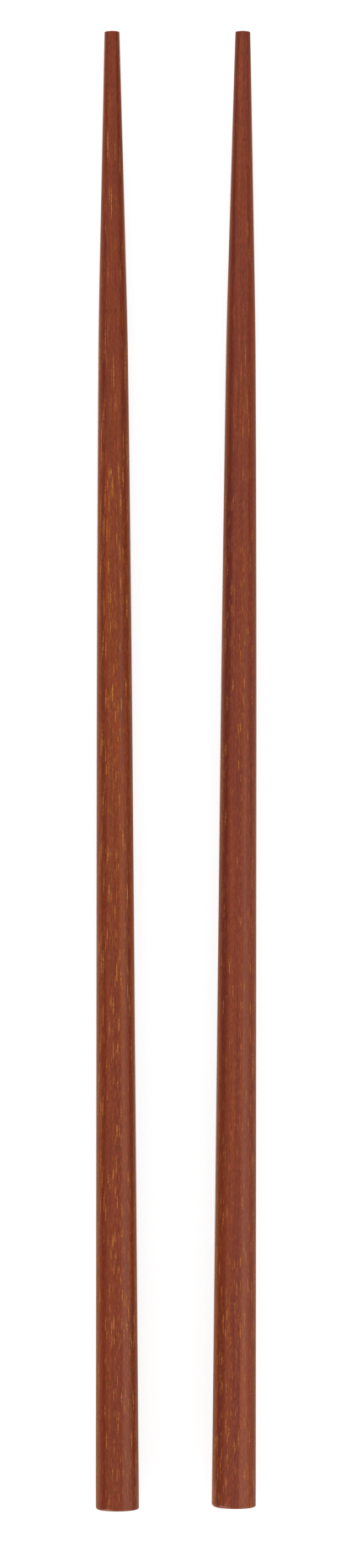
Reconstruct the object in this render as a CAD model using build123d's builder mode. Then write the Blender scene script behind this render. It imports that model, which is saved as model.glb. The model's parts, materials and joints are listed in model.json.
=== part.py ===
from build123d import *
import math
import os

# A pair of round, tapered wooden chopsticks, lying side by side on a table.
#
# Each stick is one shaved piece of hardwood. From its blunt tip a steep cone runs back
# to a knee. Behind the knee two slower tapers, the fore shank and the rear shank, carry
# it to the butt. The corners between the tapers are sanded into blends, and the edges
# at both ends are eased.
#
# Frame: millimetres, +Z up, the table at z = 0, the tips towards +Y. The origin is on the
# table, midway between the butts' outer sides and halfway along the longer stick. Each
# stick lies on the underside of its rear shank, so its axis falls a little towards the
# tip, and the tip stands clear of the table.

# Sizes that differ between the two sticks, because they are finished by hand
left_length = 235.0
right_length = 234.6
left_butt_diameter = 6.92
right_butt_diameter = 7.06
left_butt_edge_radius = 0.4
right_butt_edge_radius = 0.5

# Sizes that the two sticks share
tip_diameter = 2.4
tip_edge_radius = 0.15
knee_from_tip = 46.5
knee_diameter = 4.64
waist_from_tip = 87.5
waist_diameter = 5.5

# How far each blend reaches along a taper, as shares of the fore shank's length
knee_blend_share = 0.17
waist_blend_share = 0.8

# How the pair lies: the distance between the butts' centres, and how far each tip lies
# outside its own butt
butt_spacing = 18.5
left_tip_splay = 0.87
right_tip_splay = 1.46


def axis_plane(length, butt_diameter, butt_x, tip_x):
    """The upright plane through a resting stick's axis: x to the tip, the origin at the butt."""
    taper = (butt_diameter - waist_diameter) / 2 / (length - waist_from_tip)
    fall = math.atan(taper)
    lean = math.asin((tip_x - butt_x) / length)
    tips_y = max(left_length, right_length) / 2
    to_tip = Vector(
        math.sin(lean) * math.cos(fall),
        math.cos(lean) * math.cos(fall),
        -math.sin(fall),
    )
    butt = Vector(
        butt_x,
        tips_y - length * to_tip.Y,
        butt_diameter / 2 * math.cos(fall),
    )
    return Plane(origin=butt, x_dir=to_tip, z_dir=(math.cos(lean), -math.sin(lean), 0))


def chopstick(length, butt_diameter, butt_edge_radius, plane):
    """One stick, as a profile from butt to tip turned about its axis."""
    butt_rim = Vector(0, butt_diameter / 2)
    waist = Vector(length - waist_from_tip, waist_diameter / 2)
    knee = Vector(length - knee_from_tip, knee_diameter / 2)
    tip_rim = Vector(length, tip_diameter / 2)
    fore_length = waist_from_tip - knee_from_tip
    waist_reach = waist_blend_share * fore_length
    knee_reach = knee_blend_share * fore_length
    stick_axis = Axis(plane.origin, plane.x_dir)

    with BuildPart() as stick:
        with BuildSketch(plane):
            with BuildLine():
                rear_end = waist + (butt_rim - waist).normalized() * waist_reach
                fore_start = waist + (knee - waist).normalized() * waist_reach
                fore_end = knee + (waist - knee).normalized() * knee_reach
                cone_start = knee + (tip_rim - knee).normalized() * knee_reach
                Line(butt_rim, rear_end)
                Bezier(rear_end, waist, fore_start)
                Line(fore_start, fore_end)
                Bezier(fore_end, knee, cone_start)
                Polyline(cone_start, tip_rim, (length, 0), (0, 0), butt_rim)
            make_face()
        revolve(axis=stick_axis)
        rims = stick.edges().filter_by(GeomType.CIRCLE).sort_by(stick_axis)
        fillet(rims[0], butt_edge_radius)
        fillet(rims[-1], tip_edge_radius)
    return stick


# The butts' outer sides lie equally far from the origin, though one butt is thicker.
off_centre = (left_butt_diameter - right_butt_diameter) / 4
left_butt_x = off_centre - butt_spacing / 2
right_butt_x = off_centre + butt_spacing / 2

left_plane = axis_plane(
    left_length, left_butt_diameter, left_butt_x, left_butt_x - left_tip_splay
)
right_plane = axis_plane(
    right_length, right_butt_diameter, right_butt_x, right_butt_x + right_tip_splay
)

chopstick_left = chopstick(
    left_length, left_butt_diameter, left_butt_edge_radius, left_plane
)
chopstick_left.part.label = "chopstick_left"

chopstick_right = chopstick(
    right_length, right_butt_diameter, right_butt_edge_radius, right_plane
)
chopstick_right.part.label = "chopstick_right"

os.makedirs("parts", exist_ok=True)
export_step(chopstick_left.part, "parts/chopstick_left.step")
export_step(chopstick_right.part, "parts/chopstick_right.step")
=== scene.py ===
import json
import math
from typing import NamedTuple

import bpy
import numpy as np
from mathutils import Matrix, Vector, noise


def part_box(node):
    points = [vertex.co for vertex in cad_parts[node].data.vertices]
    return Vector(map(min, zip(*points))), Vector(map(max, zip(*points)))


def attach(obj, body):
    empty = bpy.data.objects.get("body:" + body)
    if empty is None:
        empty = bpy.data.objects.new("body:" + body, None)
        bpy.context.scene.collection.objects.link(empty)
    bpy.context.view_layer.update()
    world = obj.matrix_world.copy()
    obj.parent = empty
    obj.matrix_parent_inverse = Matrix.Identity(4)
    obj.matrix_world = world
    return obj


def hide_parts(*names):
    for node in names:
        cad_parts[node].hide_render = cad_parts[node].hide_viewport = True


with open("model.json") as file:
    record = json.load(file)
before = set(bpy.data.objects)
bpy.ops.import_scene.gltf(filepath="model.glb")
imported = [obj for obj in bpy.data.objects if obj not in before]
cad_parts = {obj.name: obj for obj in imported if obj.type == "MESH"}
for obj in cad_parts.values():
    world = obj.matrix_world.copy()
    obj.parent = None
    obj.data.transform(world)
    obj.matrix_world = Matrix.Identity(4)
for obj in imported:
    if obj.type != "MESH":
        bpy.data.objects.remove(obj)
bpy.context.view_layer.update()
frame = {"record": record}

# A pair of round, tapered chopsticks of red-brown wood under a satin lacquer, lying on a
# pale floor with the tips towards +Y. The camera looks straight down on them.

MM = 0.001

# Sizes of both sticks, in millimetres. Each stick's place, length and butt diameter come
# from the frame.
TIP_DIAMETER = 2.4
TIP_EDGE_RADIUS = 0.15
KNEE_FROM_TIP = 46.5
KNEE_DIAMETER = 4.64
WAIST_FROM_TIP = 87.5
WAIST_DIAMETER = 5.5
KNEE_BLEND_SHARE = 0.17
WAIST_BLEND_SHARE = 0.8

# The radius of each butt's edge, at its left and at its right side
LEFT_BUTT_EDGES = (0.4, 0.3)
RIGHT_BUTT_EDGES = (0.6, 0.3)

# The mesh: how finely a stick is divided, and how far it stays inside the CAD solid where
# the stick is thickest
SEGMENTS = 128
RING_SPACING = 0.5
EDGE_STEPS = 8
CAP_RINGS = 7
BLEND_STEPS = 24
SKIN = 0.01

# Hand sanding leaves long, very shallow waves on the shanks.
SANDING_DEPTH = 0.015
SANDING_LENGTH = 26.0
SANDING_WIDTH = 2.6


class Waves(NamedTuple):
    """A noise: how many waves fit in a millimetre across, along and up, how many finer
    octaves are laid over them, and what the noise adds to its stick's seed."""

    per_mm: tuple
    octaves: float
    seed_step: int


# How the grain drifts, slowly and quickly
LONG_DRIFT = Waves((0.05, 0.016, 0.05), 1.0, 0)
SHORT_DRIFT = Waves((0.3, 0.09, 0.3), 1.0, 1)

# Where the pores stand, and how they are broken up
RING_UNEVENNESS = Waves((0.25, 0.004, 0.25), 1.0, 2)
PORE_PATCHES = Waves((0.45, 0.14, 0.45), 1.0, 3)
PORE_LINES = Waves((1.1, 0.008, 1.1), 1.0, 11)
BEADS = Waves((3.0, 3.0, 3.0), 0.0, 10)

# The wood between the pores
BANDS = Waves((0.7, 0.008, 0.7), 2.0, 4)
STREAKS = Waves((4.0, 0.03, 4.0), 3.0, 5)
FIBRES = Waves((9.0, 1.5, 9.0), 1.0, 6)

# The lacquer
GLOSS = Waves((0.8, 0.25, 0.8), 2.0, 8)
LACQUER = Waves((1.6, 0.8, 1.6), 1.0, 9)

# Smooth steps: where each starts and ends, and its values before and after
RING_START_STEP = (0.0, 0.2, 0.0, 1.0)
RING_END_STEP = (0.75, 0.25, 0.0, 1.0)
PORE_LINES_STEP = (0.42, 0.62, 0.0, 1.0)
PORE_PATCHES_STEP = (0.35, 0.60, 0.6, 1.0)
BEADS_STEP = (0.35, 0.58, 0.30, 1.0)
WARMTH_STEP = (0.35, 0.65, 0.0, 1.0)
STREAK_LIGHT_STEP = (0.3, 0.7, 0.88, 1.12)
FIBRE_LIGHT_STEP = (0.3, 0.7, 0.75, 1.25)
ROUGHNESS_STEP = (0.2, 0.8, 0.24, 0.32)

# The wood's look changes between these two distances from the butt, and again between these
# two from the tip.
BUTT_LOOK_END = 50.0
SHANK_LOOK_START = 110.0
SHANK_LOOK_END_FROM_TIP = 95.0
TIP_LOOK_START_FROM_TIP = 25.0

# The fibres run out of the surface as far as this from the butt, and then follow the stick.
RUN_OUT_LENGTH = 165.0
RUN_OUT_BLEND = 40.0

# The thinnest and the widest vessel, as shares of the radius given for its kind, its core
# as a share of its own radius, and how much crowding it takes to show fully
VESSEL_RADIUS_SHARES = (0.7, 1.2)
VESSEL_CORE_SHARE = 0.70
VESSEL_FADE_SHARE = 0.1

# The darker wood close round a wide vessel: how far it reaches, as a share of the vessel's
# radius, and how well it covers
SHEATH_RADIUS_SHARE = 2.0
SHEATH_COLOUR_SHARE = 0.3

# Fine pores, between the wide ones: their spacing and radius, how many more there are and
# how much of the filler they hold
FINE_PORES = (0.17, 0.042)
FINE_PORES_SEED_STEP = 7
MORE_FINE_PORES_SHARE = 0.12
FINE_PORE_SHARE = 0.5

# How much the broad bands and the streaks each count towards how orange the wood is
BANDS_SHARE = 0.5
STREAKS_SHARE = 0.5

# Where the bands of painted shade and light run along each side of a stick, as shares of the
# way from its top to its side, and how far from its strongest place it starts and stops fading
PAINTED_BAND_START_SHARES = (0.22, 0.66)
PAINTED_BAND_END_SHARES = (0.74, 0.88)
SWELL_REACH = (10.0, 35.0)

# The nick: how far it reaches across the stick and along it, how it fades from its middle,
# how high above the axis it shows, and how much it darkens
NICK_WIDTH = 0.7
NICK_LENGTH = 0.6
NICK_STEP = (0.5, 0.2, 0.0, 0.7)
NICK_HEIGHT_STEP = (0.0, 0.5, 0.0, 1.0)
NICK_DARKENING_SHARE = 0.6

# How deep the stain shows from each end's face, and how much of it there is
BUTT_STAIN_DEPTH = 0.35
TIP_STAIN_DEPTH = 0.3
END_STAIN_SHARE = 0.5

# The surface: what the filler adds to the roughness, and the heights of the relief
PORE_ROUGHNESS = 0.12
PORE_HEIGHT = -0.010
FIBRE_HEIGHT = 0.0025
LACQUER_HEIGHT = 0.004

# The lacquer's gloss, and its soft glow where it is seen from the side
LACQUER_IOR = 1.5
GLOSS_LEVEL = 0.5
GLOSS_TINT = (1.0, 0.58, 0.42, 1)
SHEEN_WEIGHT = 0.55
SHEEN_ROUGHNESS = 0.36
SHEEN_TINT = (1.0, 0.50, 0.13, 1)

# Painted shade (maroon) and painted light (amber) for the side bands, and the ends' stained wood
PAINTED_SHADE_MAROON = (0.070, 0.012, 0.010, 1)
PAINTED_LIGHT_AMBER = (0.210, 0.034, 0.005, 1)
END_GRAIN = (0.10, 0.022, 0.010, 1)


class PaintedSideBand(NamedTuple):
    """A band of painted shade or painted light along one side of a stick, in the colour given as
    wood: how well it covers, how much better round one place, and how far that place is from
    the butt."""

    wood: tuple
    share: float
    swell_share: float = 0.0
    swell_place: float = 0.0


class Look(NamedTuple):
    """The wood of one stick. Lengths and places are in millimetres from the butt's centre."""

    seed: float

    # How far the fibres move across and up in each millimetre along, and the reach of the
    # long and of the short waves that move them from that
    fibre_slope: tuple
    drift: float
    waver: float

    # The tree's heart, across and up, and the width of a growth ring
    heart: tuple
    ring_width: float

    # Pores: their size at the butt, on the shank and at the tip, how far the growth rings
    # rule their places at the butt and on the shank, how many stand in groups and how many
    # anywhere, how many more there are at the butt, how many of them are left at the tip,
    # and the spacing and radius of the wide ones
    pore_size_shares: tuple
    ring_shares: tuple
    grouped_pores_share: float
    loose_pores_share: float
    butt_pores_share: float
    tip_pores_share: float
    wide_pores: tuple

    # The two shades of the wood, how much more of the orange one there is at the butt and at
    # the tip, and the bands of painted shade and light along the sides
    purple: tuple
    orange: tuple
    butt_warmth: float
    tip_warmth: float
    left_painted_band: PaintedSideBand
    right_painted_band: PaintedSideBand

    # The darker wood close round the pores, their golden filler and how well it covers
    sheath: tuple
    gold: tuple
    gold_share: float

    # Where a nick lies, across and along
    nick: tuple | None = None


# The left stick is flat-sawn: its rings crop out as arches, with many golden pores.
LEFT_LOOK = Look(
    seed=3.0,
    fibre_slope=(0.008, 0.045),
    drift=0.7,
    waver=0.06,
    heart=(6.0, -38.0),
    ring_width=0.65,
    pore_size_shares=(0.76, 1.0, 0.73),
    ring_shares=(0.2, 0.8),
    grouped_pores_share=0.80,
    loose_pores_share=0.16,
    butt_pores_share=0.08,
    tip_pores_share=0.75,
    wide_pores=(0.32, 0.076),
    purple=(0.143, 0.0205, 0.0080, 1),
    orange=(0.178, 0.0285, 0.0045, 1),
    butt_warmth=-0.06,
    tip_warmth=-0.12,
    # Painted shade: darker bands down both flanks, where they face the dim horizon and the other
    # stick
    left_painted_band=PaintedSideBand(PAINTED_SHADE_MAROON, 0.23),
    right_painted_band=PaintedSideBand(PAINTED_SHADE_MAROON, 0.11),
    sheath=(0.130, 0.018, 0.008, 1),
    gold=(0.48, 0.185, 0.026, 1),
    gold_share=0.80,
)

# The right stick is rift-sawn: its pores are smaller and fainter, and stand in lines.
RIGHT_LOOK = Look(
    seed=23.0,
    fibre_slope=(-0.006, 0.050),
    drift=0.5,
    waver=0.05,
    heart=(-45.0, -6.0),
    ring_width=0.9,
    pore_size_shares=(0.96, 0.85, 0.6),
    ring_shares=(0.1, 0.1),
    grouped_pores_share=0.60,
    loose_pores_share=0.08,
    butt_pores_share=0.15,
    tip_pores_share=0.5,
    wide_pores=(0.30, 0.060),
    purple=(0.129, 0.0185, 0.0130, 1),
    orange=(0.174, 0.0295, 0.0070, 1),
    butt_warmth=0.03,
    tip_warmth=0.0,
    # Darker band down the left flank: partly painted shade where it faces the other stick, partly
    # the wood's own darker streak, strongest round 145 mm from the butt
    left_painted_band=PaintedSideBand(PAINTED_SHADE_MAROON, 0.42, swell_share=0.26, swell_place=145.0),
    # Painted light: a lighter, more orange band down the right flank
    right_painted_band=PaintedSideBand(PAINTED_LIGHT_AMBER, 0.2),
    sheath=(0.120, 0.018, 0.010, 1),
    gold=(0.46, 0.170, 0.024, 1),
    gold_share=0.85,
    nick=(0.32, 217.2),
)


class Stick:
    """One stick of the frame: its place, its sizes and the look of its wood."""

    def __init__(self, node, mount, butt_edges, look):
        mounts = {m["name"]: m for m in frame["record"]["mounts"]}
        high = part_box(node)[1]
        self.node = node
        self.butt = Vector(mounts[mount]["pos_m"])
        self.to_tip = -Vector(mounts[mount]["axis"]).normalized()
        self.across = self.to_tip.cross(Vector((0, 0, 1))).normalized()
        self.up = self.across.cross(self.to_tip)
        self.length = (high.y - self.butt.y) / self.to_tip.y / MM
        self.butt_diameter = 2 * self.butt.z / self.up.z / MM
        self.butt_edges = butt_edges
        self.look = look

    def point(self, across, along, up):
        """A point given in millimetres from the butt's centre, as a place in the frame."""
        offset = self.across * across + self.to_tip * along + self.up * up
        return self.butt + offset * MM

    def turn(self):
        """The rotation from the frame's axes to the stick's own."""
        return Matrix((self.across, self.to_tip, self.up)).transposed()


def blend(start, corner, end):
    """Points on the curve that rounds a corner."""
    points = []
    for share in np.linspace(0, 1, BLEND_STEPS):
        points.append(
            start * (1 - share) ** 2 + corner * 2 * share * (1 - share) + end * share**2
        )
    return points


def shank_line(stick):
    """The shank's outline from butt to tip, as arrays of distance and radius."""
    butt = np.array((0, stick.butt_diameter / 2))
    waist = np.array((stick.length - WAIST_FROM_TIP, WAIST_DIAMETER / 2))
    knee = np.array((stick.length - KNEE_FROM_TIP, KNEE_DIAMETER / 2))
    tip = np.array((stick.length, TIP_DIAMETER / 2))
    fore_length = WAIST_FROM_TIP - KNEE_FROM_TIP

    def towards(start, end, share):
        return start + (end - start) / np.linalg.norm(end - start) * share * fore_length

    line = [butt]
    line += blend(
        towards(waist, butt, WAIST_BLEND_SHARE),
        waist,
        towards(waist, knee, WAIST_BLEND_SHARE),
    )
    line += blend(
        towards(knee, waist, KNEE_BLEND_SHARE),
        knee,
        towards(knee, tip, KNEE_BLEND_SHARE),
    )
    line.append(tip)
    line = np.array(line)
    return line[:, 0], line[:, 1]


def sanding(stick, angle, along):
    """How far hand sanding has taken the surface in at one place, in millimetres."""
    round_the_stick = stick.butt_diameter / 2 / SANDING_WIDTH
    place = Vector(
        (
            math.cos(angle) * round_the_stick,
            along / SANDING_LENGTH,
            math.sin(angle) * round_the_stick + stick.look.seed,
        )
    )
    return SANDING_DEPTH * (1 + noise.noise(place)) / 2


def stick_rings(stick):
    """The angles of a ring's points, and each ring from the butt's middle to the tip's, as
    the distances and radii of its points."""
    angles = np.arange(SEGMENTS) / SEGMENTS * 2 * math.pi
    line_distances, line_radii = shank_line(stick)
    left_edge, right_edge = stick.butt_edges
    butt_edge = (left_edge + right_edge) / 2 + (right_edge - left_edge) / 2 * np.cos(angles)
    butt_radius = stick.butt_diameter / 2
    tip_radius = TIP_DIAMETER / 2
    quarter = np.linspace(0, math.pi / 2, EDGE_STEPS)
    rings = []

    # The butt's face and its edge, whose radius differs from the left to the right
    for share in np.linspace(0, 1, CAP_RINGS)[1:]:
        rings.append((np.zeros(SEGMENTS), (butt_radius - butt_edge) * share))
    for turn in quarter[1:]:
        along = butt_edge * (1 - math.cos(turn))
        radius = butt_radius - butt_edge * (1 - math.sin(turn))
        rings.append((along, radius))

    # The shank
    first = max(left_edge, right_edge) + RING_SPACING
    last = stick.length - TIP_EDGE_RADIUS - RING_SPACING
    for along in np.linspace(first, last, round((last - first) / RING_SPACING)):
        radius = np.interp(along, line_distances, line_radii)
        rings.append((np.full(SEGMENTS, along), np.full(SEGMENTS, radius)))

    # The tip's edge and its face
    for turn in quarter[:-1]:
        along = stick.length - TIP_EDGE_RADIUS * (1 - math.sin(turn))
        radius = tip_radius - TIP_EDGE_RADIUS * (1 - math.cos(turn))
        rings.append((np.full(SEGMENTS, along), np.full(SEGMENTS, radius)))
    for share in np.linspace(1, 0, CAP_RINGS)[:-1]:
        radius = (tip_radius - TIP_EDGE_RADIUS) * share
        rings.append((np.full(SEGMENTS, stick.length), np.full(SEGMENTS, radius)))
    return angles, rings


def stick_mesh(stick):
    """The stick as one closed mesh: rings of points from butt to tip, with a fan at each end."""
    angles, rings = stick_rings(stick)
    points = [stick.point(0, SKIN, 0)]
    for distances, radii in rings:
        for angle, along, radius in zip(angles, distances, radii):
            # The thinner the stick is, the less is taken off, down to nothing on its axis.
            taken_off = SKIN + sanding(stick, angle, along)
            radius *= 1 - taken_off / (stick.butt_diameter / 2)
            along = min(max(along, SKIN), stick.length - SKIN)
            points.append(
                stick.point(math.cos(angle) * radius, along, math.sin(angle) * radius)
            )
    points.append(stick.point(0, stick.length - SKIN, 0))

    faces = []
    last_ring = len(rings) - 1
    for segment in range(SEGMENTS):
        after = (segment + 1) % SEGMENTS
        faces.append((0, 1 + segment, 1 + after))
        for ring in range(last_ring):
            start = 1 + ring * SEGMENTS
            end = start + SEGMENTS
            faces.append((start + segment, end + segment, end + after, start + after))
        start = 1 + last_ring * SEGMENTS
        faces.append((start + segment, len(points) - 1, start + after))

    mesh = bpy.data.meshes.new(stick.node + "_wood")
    mesh.from_pydata(points, [], faces)
    mesh.validate()
    mesh.shade_smooth()
    return mesh


class Graph:
    """A material's nodes. A call adds a node, and an input takes a number or another's output."""

    def __init__(self, tree):
        self.tree = tree
        self.tree.nodes.clear()

    def add(self, kind, inputs=None, **settings):
        node = self.tree.nodes.new(kind)
        for name, value in settings.items():
            setattr(node, name, value)
        for name, value in (inputs or {}).items():
            self.feed(node.inputs[name], value)
        return node

    def feed(self, socket, value):
        if isinstance(value, bpy.types.NodeSocket):
            self.tree.links.new(value, socket)
        else:
            socket.default_value = value

    def math(self, operation, *values):
        node = self.add("ShaderNodeMath", operation=operation)
        for socket, value in zip(node.inputs, values):
            self.feed(socket, value)
        return node.outputs[0]

    def vector(self, operation, *values):
        node = self.add("ShaderNodeVectorMath", operation=operation)
        for socket, value in zip(node.inputs, values):
            self.feed(socket, value)
        return node.outputs["Value" if operation == "LENGTH" else "Vector"]

    def scale(self, vector, factor):
        node = self.add("ShaderNodeVectorMath", operation="SCALE")
        self.feed(node.inputs["Vector"], vector)
        self.feed(node.inputs["Scale"], factor)
        return node.outputs["Vector"]

    def mix(self, share, first, second):
        """A colour that goes from the first to the second as share goes from 0 to 1."""
        node = self.add("ShaderNodeMix", data_type="RGBA")
        # Several of its sockets share a name, so they are found by number.
        for number, value in ((0, share), (6, first), (7, second)):
            self.feed(node.inputs[number], value)
        return node.outputs[2]

    def split(self, vector):
        """The outputs X, Y and Z of a vector."""
        return self.add("ShaderNodeSeparateXYZ", {"Vector": vector}).outputs

    def join(self, **axes):
        """A vector from some of X, Y and Z, with 0 for the rest."""
        return self.add("ShaderNodeCombineXYZ", axes).outputs[0]

    def noise(self, point, waves, seed, output="Fac"):
        """Noise at a point that is given in millimetres."""
        inputs = {
            "Vector": self.vector("MULTIPLY", point, waves.per_mm),
            "W": seed + waves.seed_step,
            "Scale": 1.0,
            "Detail": waves.octaves,
        }
        return self.add("ShaderNodeTexNoise", inputs, noise_dimensions="4D").outputs[output]

    def smooth(self, value, start, end, low, high):
        """A smooth step from low to high as value goes from start to end."""
        inputs = {
            "Value": value,
            "From Min": start,
            "From Max": end,
            "To Min": low,
            "To Max": high,
        }
        node = self.add("ShaderNodeMapRange", inputs, interpolation_type="SMOOTHSTEP")
        return node.outputs[0]


def wood_point(graph, stick):
    """The shaded point in millimetres from the butt's centre: across, along and up."""
    inputs = {
        "Vector": graph.add("ShaderNodeTexCoord").outputs["Object"],
        "Location": stick.butt,
        "Rotation": stick.turn().to_euler(),
        "Scale": (MM, MM, MM),
    }
    return graph.add("ShaderNodeMapping", inputs, vector_type="TEXTURE").outputs[0]


def drift(graph, point, waves, reach, seed):
    """How far a noise moves the point across and up, which is at most about half the reach."""
    noise_middle = (0.5, 0.5, 0.5)
    away = graph.vector("SUBTRACT", graph.noise(point, waves, seed, "Color"), noise_middle)
    return graph.vector("MULTIPLY", away, (reach, 0, reach))


def grain_points(graph, point, look):
    """Two points in the tree's own grain. A line along the stick keeps one place across and up
    in the first. A fibre, which also runs out of the surface, keeps one in the second."""
    long_drift = drift(graph, point, LONG_DRIFT, look.drift, look.seed)
    short_drift = drift(graph, point, SHORT_DRIFT, look.waver, look.seed)
    line = graph.vector("ADD", graph.vector("ADD", point, long_drift), short_drift)

    along = graph.math("SMOOTH_MIN", graph.split(point)["Y"], RUN_OUT_LENGTH, RUN_OUT_BLEND)
    slope_across, slope_up = look.fibre_slope
    run_out = graph.join(
        X=graph.math("MULTIPLY", along, -slope_across),
        Z=graph.math("MULTIPLY", along, -slope_up),
    )
    return line, graph.vector("ADD", line, run_out)


def from_butt(graph, along, at_butt, on_shank):
    """A value that changes from the butt to the shank."""
    return graph.smooth(along, BUTT_LOOK_END, SHANK_LOOK_START, at_butt, on_shank)


def to_tip(graph, along, stick, on_shank, at_tip):
    """A value that changes from the shank to the tip."""
    start = stick.length - SHANK_LOOK_END_FROM_TIP
    end = stick.length - TIP_LOOK_START_FROM_TIP
    return graph.smooth(along, start, end, on_shank, at_tip)


def distance_from(graph, point, across, up):
    """How far the point is from a line that runs along the stick."""
    offset = graph.vector("SUBTRACT", point, (across, 0, up))
    return graph.vector("LENGTH", graph.vector("MULTIPLY", offset, (1, 0, 1)))


def ring_phase(graph, fibre, look):
    """Where the point lies in its growth ring: 0 where a ring starts, 1 where it ends."""
    radius = distance_from(graph, fibre, *look.heart)
    uneven = graph.noise(fibre, RING_UNEVENNESS, look.seed)
    rings = graph.math("DIVIDE", radius, look.ring_width)
    return graph.math("FRACT", graph.math("ADD", rings, uneven))


def pore_crowding(graph, along, line, fibre, stick):
    """What share of the pores shows: they stand in lines along the stick, at the start of each
    growth ring and in patches, with more at the butt and fewer near the tip."""
    look = stick.look
    phase = ring_phase(graph, fibre, look)
    ring_start = graph.smooth(phase, *RING_START_STEP)
    ring_end = graph.smooth(phase, *RING_END_STEP)
    rings = graph.math("MULTIPLY", ring_start, ring_end)
    lines = graph.smooth(graph.noise(line, PORE_LINES, look.seed), *PORE_LINES_STEP)
    ring_share = from_butt(graph, along, *look.ring_shares)
    rings_over_lines = graph.math("SUBTRACT", rings, lines)
    grouped = graph.math("MULTIPLY_ADD", ring_share, rings_over_lines, lines)
    crowding = graph.math(
        "MULTIPLY_ADD", grouped, look.grouped_pores_share, look.loose_pores_share
    )
    crowding = graph.math("ADD", crowding, from_butt(graph, along, look.butt_pores_share, 0.0))
    patches = graph.noise(fibre, PORE_PATCHES, look.seed)
    patches = graph.smooth(patches, *PORE_PATCHES_STEP)
    thinning = to_tip(graph, along, stick, 1.0, look.tip_pores_share)
    return graph.math("MULTIPLY", crowding, graph.math("MULTIPLY", patches, thinning))


def pore_growth(graph, along, stick):
    """How large the pores are along the stick, as a share of their full radius."""
    butt_share, shank_share, tip_share = stick.look.pore_size_shares
    up_to_shank = from_butt(graph, along, butt_share, shank_share)
    shrinking = to_tip(graph, along, stick, 1.0, tip_share / shank_share)
    return graph.math("MULTIPLY", up_to_shank, shrinking)


def vessels(graph, fibre, crowding, growth, size, seed):
    """Vessels that run along the fibre and that the surface cuts at a slant, which shows them
    as dashes: a mask of the vessels themselves and one of the wood close round them."""
    spacing, radius = size
    place = graph.split(fibre)
    section = graph.join(X=place["X"], Y=place["Z"])
    section = graph.vector("ADD", section, (seed, seed, 0))
    inputs = {"Vector": section, "Scale": 1 / spacing}
    cells = graph.add("ShaderNodeTexVoronoi", inputs, voronoi_dimensions="2D").outputs
    draws = graph.add("ShaderNodeSeparateColor", {"Color": cells["Color"]}).outputs

    shown = graph.math("SUBTRACT", crowding, draws["Red"])
    shown = graph.smooth(shown, 0.0, VESSEL_FADE_SHARE, 0.0, 1.0)
    least_share, most_share = VESSEL_RADIUS_SHARES
    reach = graph.smooth(draws["Green"], 0.0, 1.0, least_share * radius, most_share * radius)
    reach = graph.math("MULTIPLY", reach, graph.math("DIVIDE", growth, spacing))
    distance = graph.math("DIVIDE", cells["Distance"], reach)
    inside = graph.smooth(distance, 1.0, VESSEL_CORE_SHARE, 0.0, 1.0)
    sheath = graph.smooth(distance, SHEATH_RADIUS_SHARE, 1.0, 0.0, 1.0)
    return graph.math("MULTIPLY", inside, shown), graph.math("MULTIPLY", sheath, shown)


def golden_pores(graph, along, line, fibre, stick):
    """Masks of the golden dashes, broken into beads, and of the wood round the wide ones."""
    look = stick.look
    crowding = pore_crowding(graph, along, line, fibre, stick)
    growth = pore_growth(graph, along, stick)
    wide, sheath = vessels(graph, fibre, crowding, growth, look.wide_pores, look.seed)
    more = graph.math("ADD", crowding, MORE_FINE_PORES_SHARE)
    fine_seed = look.seed + FINE_PORES_SEED_STEP
    fine = vessels(graph, fibre, more, growth, FINE_PORES, fine_seed)[0]
    pores = graph.math("MAXIMUM", wide, graph.math("MULTIPLY", fine, FINE_PORE_SHARE))
    beads = graph.smooth(graph.noise(fibre, BEADS, look.seed), *BEADS_STEP)
    return graph.math("MULTIPLY", pores, beads), sheath


def ground_colour(graph, along, line, fibres, stick):
    """Long bands of orange-brown and purple-brown, and fine streaks along the fibres."""
    look = stick.look
    bands = graph.noise(line, BANDS, look.seed)
    streaks = graph.noise(line, STREAKS, look.seed)
    warmth = graph.math("MULTIPLY", bands, BANDS_SHARE)
    warmth = graph.math("MULTIPLY_ADD", streaks, STREAKS_SHARE, warmth)
    at_butt = from_butt(graph, along, look.butt_warmth, 0.0)
    at_tip = to_tip(graph, along, stick, 0.0, look.tip_warmth)
    warmth = graph.math("ADD", warmth, graph.math("ADD", at_butt, at_tip))
    orange_share = graph.smooth(warmth, *WARMTH_STEP)
    colour = graph.mix(orange_share, look.purple, look.orange)
    streak_light = graph.smooth(streaks, *STREAK_LIGHT_STEP)
    fibre_light = graph.smooth(fibres, *FIBRE_LIGHT_STEP)
    return graph.scale(colour, graph.math("MULTIPLY", streak_light, fibre_light))


def add_painted_side_bands(graph, colour, point, look):
    """The colour with painted shade or painted light in a band along each side, between top and
    side.
    """
    place = graph.split(point)
    right_side = graph.math("DIVIDE", place["X"], distance_from(graph, point, 0, 0))
    left_side = graph.math("MULTIPLY", right_side, -1.0)
    for side, band in ((left_side, look.left_painted_band), (right_side, look.right_painted_band)):
        start = graph.smooth(side, *PAINTED_BAND_START_SHARES, 0.0, 1.0)
        end = graph.smooth(side, *PAINTED_BAND_END_SHARES, 1.0, 0.0)
        away = graph.math("ABSOLUTE", graph.math("SUBTRACT", place["Y"], band.swell_place))
        most_share = band.share + band.swell_share
        share = graph.smooth(away, *SWELL_REACH, most_share, band.share)
        share = graph.math("MULTIPLY", graph.math("MULTIPLY", start, end), share)
        colour = graph.mix(share, colour, band.wood)
    return colour


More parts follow.
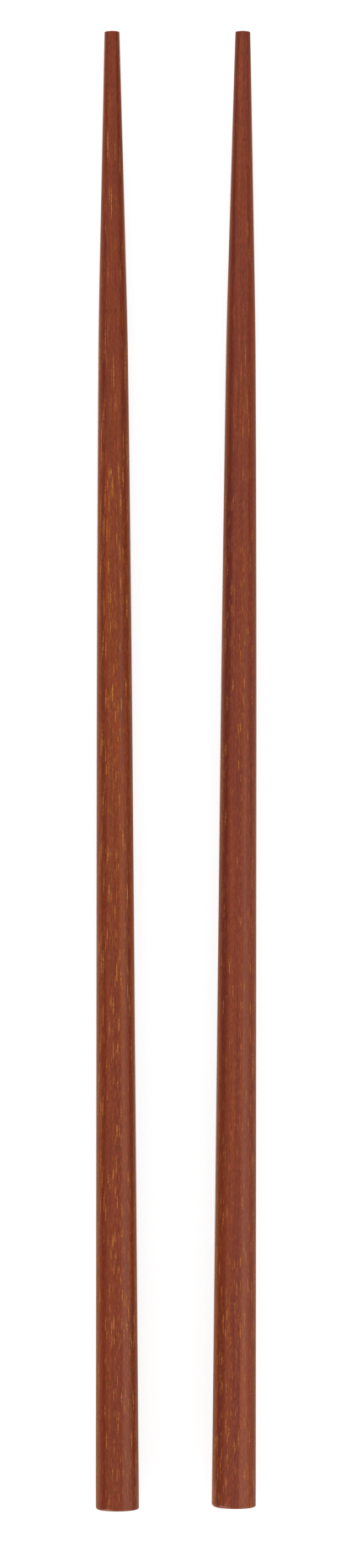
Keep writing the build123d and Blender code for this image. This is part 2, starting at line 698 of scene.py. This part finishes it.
def add_nick(graph, colour, point, look):
    """The colour with a dark nick on top, too shallow to change the outline."""
    from_nick = graph.vector("SUBTRACT", point, (*look.nick, 0))
    from_nick = graph.vector("MULTIPLY", from_nick, (1 / NICK_WIDTH, 1 / NICK_LENGTH, 0))
    nick = graph.smooth(graph.vector("LENGTH", from_nick), *NICK_STEP)
    on_top = graph.smooth(graph.split(point)["Z"], *NICK_HEIGHT_STEP)
    nick = graph.math("MULTIPLY", nick, on_top)
    colour = graph.mix(nick, colour, look.sheath)
    return graph.scale(colour, graph.math("MULTIPLY_ADD", nick, -NICK_DARKENING_SHARE, 1.0))


def add_end_stain(graph, colour, along, stick):
    """The colour with the stain that the end grain drinks at both faces."""
    butt_end = graph.smooth(along, BUTT_STAIN_DEPTH, 0.0, 0.0, END_STAIN_SHARE)
    tip_end = graph.smooth(
        along, stick.length - TIP_STAIN_DEPTH, stick.length, 0.0, END_STAIN_SHARE
    )
    return graph.mix(graph.math("MAXIMUM", butt_end, tip_end), colour, END_GRAIN)


def surface_normal(graph, point, pores, fibres, seed):
    """The normal of a relief whose heights are in millimetres: pores a little sunk, fibres a
    little raised, and the lacquer's own shallow waves."""
    lacquer = graph.noise(point, LACQUER, seed)
    height = graph.math("MULTIPLY", pores, PORE_HEIGHT)
    height = graph.math("MULTIPLY_ADD", fibres, FIBRE_HEIGHT, height)
    height = graph.math("MULTIPLY_ADD", lacquer, LACQUER_HEIGHT, height)
    inputs = {"Height": height, "Distance": MM, "Strength": 1.0}
    return graph.add("ShaderNodeBump", inputs).outputs[0]


def wood_material(stick):
    """Large-pored red-brown wood, its pores filled with a golden filler, under satin lacquer."""
    look = stick.look
    material = bpy.data.materials.new(stick.node + "_wood")
    material.use_nodes = True
    graph = Graph(material.node_tree)
    point = wood_point(graph, stick)
    along = graph.split(point)["Y"]
    line, fibre = grain_points(graph, point, look)
    fibres = graph.noise(fibre, FIBRES, look.seed)
    pores, sheath = golden_pores(graph, along, line, fibre, stick)

    colour = ground_colour(graph, along, line, fibres, stick)
    # Painted shade and painted light: bands down the flanks, darker or lighter by how light falls
    # there
    colour = add_painted_side_bands(graph, colour, point, look)
    sheath = graph.math("MULTIPLY", sheath, SHEATH_COLOUR_SHARE)
    colour = graph.mix(sheath, colour, look.sheath)
    colour = graph.mix(graph.math("MULTIPLY", pores, look.gold_share), colour, look.gold)
    if look.nick:
        colour = add_nick(graph, colour, point, look)
    colour = add_end_stain(graph, colour, along, stick)

    roughness = graph.smooth(graph.noise(point, GLOSS, look.seed), *ROUGHNESS_STEP)
    roughness = graph.math("MULTIPLY_ADD", pores, PORE_ROUGHNESS, roughness)
    surface = graph.add(
        "ShaderNodeBsdfPrincipled",
        {
            "Base Color": colour,
            "Roughness": roughness,
            "Normal": surface_normal(graph, point, pores, fibres, look.seed),
            "IOR": LACQUER_IOR,
            "Specular IOR Level": GLOSS_LEVEL,
            "Specular Tint": GLOSS_TINT,
            "Sheen Weight": SHEEN_WEIGHT,
            "Sheen Roughness": SHEEN_ROUGHNESS,
            "Sheen Tint": SHEEN_TINT,
        },
    )
    graph.add("ShaderNodeOutputMaterial", {"Surface": surface.outputs[0]})
    return material


def add_stick(stick):
    """The stick's fine mesh in its wood, in place of the CAD solid."""
    mesh = stick_mesh(stick)
    mesh.materials.append(wood_material(stick))
    piece = bpy.data.objects.new(stick.node + "_wood", mesh)
    bpy.context.scene.collection.objects.link(piece)
    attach(piece, "root")
    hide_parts(stick.node)


add_stick(Stick("chopstick_left", "left_butt_face", LEFT_BUTT_EDGES, LEFT_LOOK))
add_stick(Stick("chopstick_right", "right_butt_face", RIGHT_BUTT_EDGES, RIGHT_LOOK))


# The stage: sizes in metres, and radiances of which 1 shows as white. The floor has one
# colour for the camera, with a glow of its own, and one for all other rays.
FLOOR_SIDE = 4.0
FLOOR_WHITE = (0.36, 0.36, 0.36, 1)
FLOOR_GREY = (0.38, 0.38, 0.38, 1)
FLOOR_GLOW = 0.725
WHITE = (1, 1, 1, 1)

# The sky: its light low down and overhead, and the heights between which it brightens, as
# the sines of their angles above the horizon
HORIZON_RADIANCE = 0.02
ZENITH_RADIANCE = 0.92
HORIZON_TOP = 0.33
ZENITH_EDGE = 0.72


class Softbox(NamedTuple):
    """A rectangular lamp aimed at the pair. Its tilt is its angle from overhead in degrees."""

    tilt: float
    distance: float
    width: float
    length: float


KEY_SOFTBOX = Softbox(tilt=59, distance=0.9, width=0.80, length=0.50)
SIDE_SOFTBOX = Softbox(tilt=78, distance=1.0, width=0.60, length=0.70)

# Where the lamps stand, in degrees from +X towards +Y, and their radiances
KEY_BEARING = -16
KEY_RADIANCE = 1.75
SIDE_RADIANCES = {52: 3.1, 128: 6.1, 232: 6.1, 308: 3.1}


def add_floor():
    """A pale floor. The camera sees it white, with the shadows; other rays see it grey."""
    half = FLOOR_SIDE / 2
    corners = [(-half, -half, 0), (half, -half, 0), (half, half, 0), (-half, half, 0)]
    mesh = bpy.data.meshes.new("floor")
    mesh.from_pydata(corners, [], [(0, 1, 2, 3)])
    material = bpy.data.materials.new("floor")
    material.use_nodes = True
    graph = Graph(material.node_tree)
    camera_ray = graph.add("ShaderNodeLightPath").outputs["Is Camera Ray"]
    surface = graph.add(
        "ShaderNodeBsdfPrincipled",
        {
            "Base Color": graph.mix(camera_ray, FLOOR_GREY, FLOOR_WHITE),
            "Roughness": 1.0,
            "Specular IOR Level": 0.0,
            "Emission Color": WHITE,
            "Emission Strength": graph.math("MULTIPLY", camera_ray, FLOOR_GLOW),
        },
    )
    graph.add("ShaderNodeOutputMaterial", {"Surface": surface.outputs[0]})
    mesh.materials.append(material)
    floor = bpy.data.objects.new("floor", mesh)
    bpy.context.scene.collection.objects.link(floor)


def add_sky():
    """Even light from above, dimmer near the horizon, with white behind for the camera."""
    world = bpy.data.worlds.new("studio")
    bpy.context.scene.world = world
    world.use_nodes = True
    graph = Graph(world.node_tree)
    camera_ray = graph.add("ShaderNodeLightPath").outputs["Is Camera Ray"]
    direction = graph.add("ShaderNodeTexCoord").outputs["Generated"]
    radiance = graph.smooth(
        graph.split(direction)["Z"],
        HORIZON_TOP,
        ZENITH_EDGE,
        HORIZON_RADIANCE,
        ZENITH_RADIANCE,
    )
    strength = graph.math("MAXIMUM", radiance, camera_ray)
    background = graph.add("ShaderNodeBackground", {"Color": WHITE, "Strength": strength})
    graph.add("ShaderNodeOutputWorld", {"Surface": background.outputs[0]})


def add_softbox(name, softbox, bearing, radiance):
    """The lamp of one softbox, which the camera doesn't see."""
    lamp = bpy.data.lights.new(name, "AREA")
    lamp.shape = "RECTANGLE"
    lamp.size = softbox.width
    lamp.size_y = softbox.length
    lamp.energy = radiance * math.pi * softbox.width * softbox.length
    turn = Matrix.Rotation(math.radians(bearing), 3, "Z")
    turn = turn @ Matrix.Rotation(math.radians(softbox.tilt), 3, "Y")
    holder = bpy.data.objects.new(name, lamp)
    holder.rotation_euler = turn.to_euler()
    holder.location = turn @ Vector((0, 0, softbox.distance))
    holder.visible_camera = False
    bpy.context.scene.collection.objects.link(holder)


add_floor()
add_sky()
add_softbox("key_softbox", KEY_SOFTBOX, KEY_BEARING, KEY_RADIANCE)
for bearing, radiance in SIDE_RADIANCES.items():
    add_softbox(f"side_softbox_{bearing}", SIDE_SOFTBOX, bearing, radiance)


# The camera: straight above the pair, where the photograph was taken from
CAMERA_HEIGHT = 0.89
CAMERA_ACROSS = 0.00083
CAMERA_ALONG = -0.00223
LENS = 128.05
SENSOR = 36.0

camera_data = bpy.data.cameras.new("camera")
camera_data.lens = LENS
camera_data.sensor_width = SENSOR
camera = bpy.data.objects.new("camera", camera_data)
camera.location = (CAMERA_ACROSS, CAMERA_ALONG, CAMERA_HEIGHT)
bpy.context.scene.collection.objects.link(camera)
bpy.context.scene.camera = camera
bpy.context.scene.view_settings.view_transform = "Standard"
